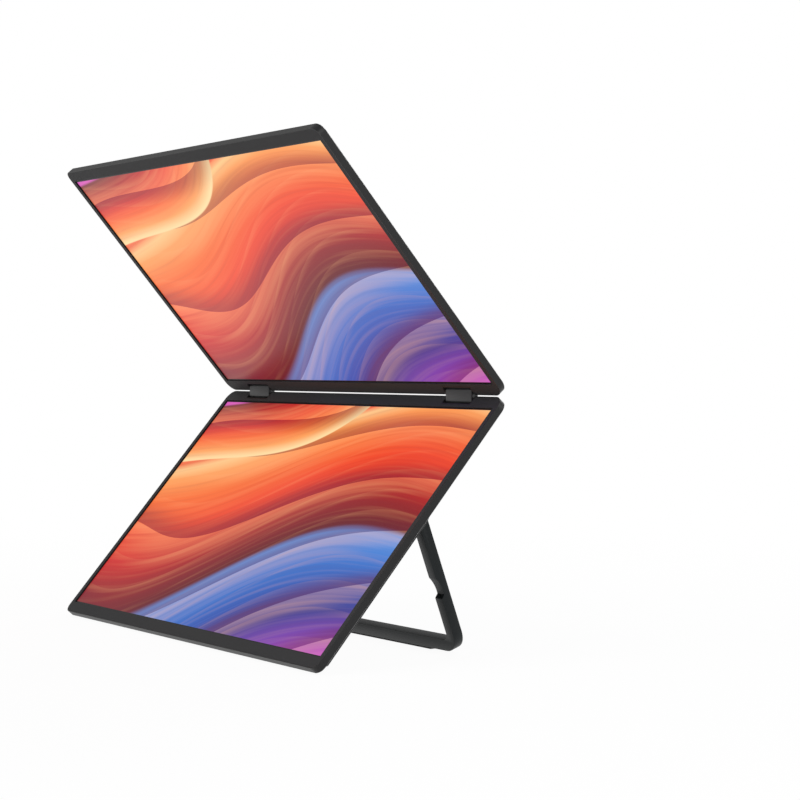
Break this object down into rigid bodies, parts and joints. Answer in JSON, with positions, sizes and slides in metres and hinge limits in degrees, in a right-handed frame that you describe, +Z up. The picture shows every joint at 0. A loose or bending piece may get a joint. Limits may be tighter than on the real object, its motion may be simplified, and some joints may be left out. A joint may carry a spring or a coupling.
{
  "type": "stacked dual portable monitor",
  "caption": "Stacked portable monitor: thin widescreen displays joined by double-axis hinges, on a folding U-shaped stand, with sockets and keys in its sides.",
  "frame": {"origin": "on the desk, under the middle of the whole object", "axes": "+Z up, screens face -Y, +X to the right as seen from the front"},
  "size_m": [0.355, 0.144, 0.3308],
  "materials": {
    "bezel_plastic": "fine satin, near black grey",
    "screen_glass": "smooth polariser film, coloured picture",
    "white_film": "white diffuser film",
    "cover_metal": "fine satin black coat with a bright cut bevel",
    "housing_plastic": "fine satin black",
    "circuit_board": "green solder mask",
    "steel": "plain steel",
    "tin_plate": "tinned sheet",
    "brass": "plain brass",
    "socket_metal": "dark nickel with a pale gold rim",
    "switch_plastic": "moulded black",
    "key_plastic": "satin black",
    "hinge_plastic": "satin dark grey",
    "stand_metal": "satin grey, slightly blue",
    "rubber": "matt black rubber"
  },
  "bodies": {
    "lower_display": {"lower_bezel": "bezel_plastic", "lower_lcd_panel": "screen_glass", "lower_backlight": "white_film", "lower_back_cover": "cover_metal", "lower_panel_board": "circuit_board", "lower_bracket_screws": "steel", "lower_bracket_left": "steel", "lower_bracket_right": "steel", "lower_shaft_left": "steel", "lower_shaft_right": "steel", "rear_housing": "housing_plastic", "main_board": "circuit_board", "board_shield": "tin_plate", "board_standoffs": "brass", "board_screws": "steel", "port_board": "circuit_board", "key_board": "circuit_board", "key_switches": "switch_plastic", "usb_c_socket_1": "socket_metal", "usb_c_socket_2": "socket_metal", "usb_c_socket_3": "socket_metal", "video_socket_1": "socket_metal", "video_socket_2": "socket_metal", "usb_c_socket_1_tongue": "switch_plastic", "usb_c_socket_2_tongue": "switch_plastic", "usb_c_socket_3_tongue": "switch_plastic", "video_socket_1_tongue": "switch_plastic", "video_socket_2_tongue": "switch_plastic", "foot_pad_left": "rubber", "foot_pad_right": "rubber", "friction_washers": "steel", "pivot_pin_left": "steel", "pivot_pin_right": "steel"},
    "hinge_link": {"hinge_cover_left": "hinge_plastic", "hinge_cover_right": "hinge_plastic", "torque_block_left": "steel", "torque_block_right": "steel"},
    "upper_display": {"upper_bezel": "bezel_plastic", "upper_lcd_panel": "screen_glass", "upper_backlight": "white_film", "upper_back_cover": "cover_metal", "upper_panel_board": "circuit_board", "upper_bracket_screws": "steel", "upper_bracket_left": "steel", "upper_bracket_right": "steel", "upper_shaft_left": "steel", "upper_shaft_right": "steel"},
    "stand": {"stand_frame": "stand_metal", "stand_pad": "rubber"},
    "power_key_1": {"power_key_1": "key_plastic"},
    "menu_key_1": {"menu_key_1": "key_plastic"},
    "menu_key_2": {"menu_key_2": "key_plastic"},
    "menu_key_3": {"menu_key_3": "key_plastic"},
    "power_key_2": {"power_key_2": "key_plastic"}
  },
  "joints": [
    {"name": "lower_hinge", "type": "hinge", "parent": "lower_display", "child": "hinge_link", "pos_m": [0, 0.06885, 0.16179], "axis": [1, 0, 0], "range_deg": [-86, 49]},
    {"name": "upper_hinge", "type": "hinge", "parent": "hinge_link", "child": "upper_display", "pos_m": [0, 0.06885, 0.16979], "axis": [1, 0, 0], "range_deg": [-86, 49]},
    {"name": "stand_hinge", "type": "hinge", "parent": "lower_display", "child": "stand", "pos_m": [0, 0.02108, 0.09335], "axis": [1, 0, 0], "range_deg": [-61, 17]},
    {"name": "power_key_1_press", "type": "slide", "parent": "lower_display", "child": "power_key_1", "axis": [-1, 0, 0], "range_m": [0, 0.0004], "stiffness_N_per_m": 400},
    {"name": "menu_key_1_press", "type": "slide", "parent": "lower_display", "child": "menu_key_1", "axis": [-1, 0, 0], "range_m": [0, 0.0004], "stiffness_N_per_m": 400},
    {"name": "menu_key_2_press", "type": "slide", "parent": "lower_display", "child": "menu_key_2", "axis": [-1, 0, 0], "range_m": [0, 0.0004], "stiffness_N_per_m": 400},
    {"name": "menu_key_3_press", "type": "slide", "parent": "lower_display", "child": "menu_key_3", "axis": [-1, 0, 0], "range_m": [0, 0.0004], "stiffness_N_per_m": 400},
    {"name": "power_key_2_press", "type": "slide", "parent": "lower_display", "child": "power_key_2", "axis": [-1, 0, 0], "range_m": [0, 0.0004], "stiffness_N_per_m": 400}
  ]
}
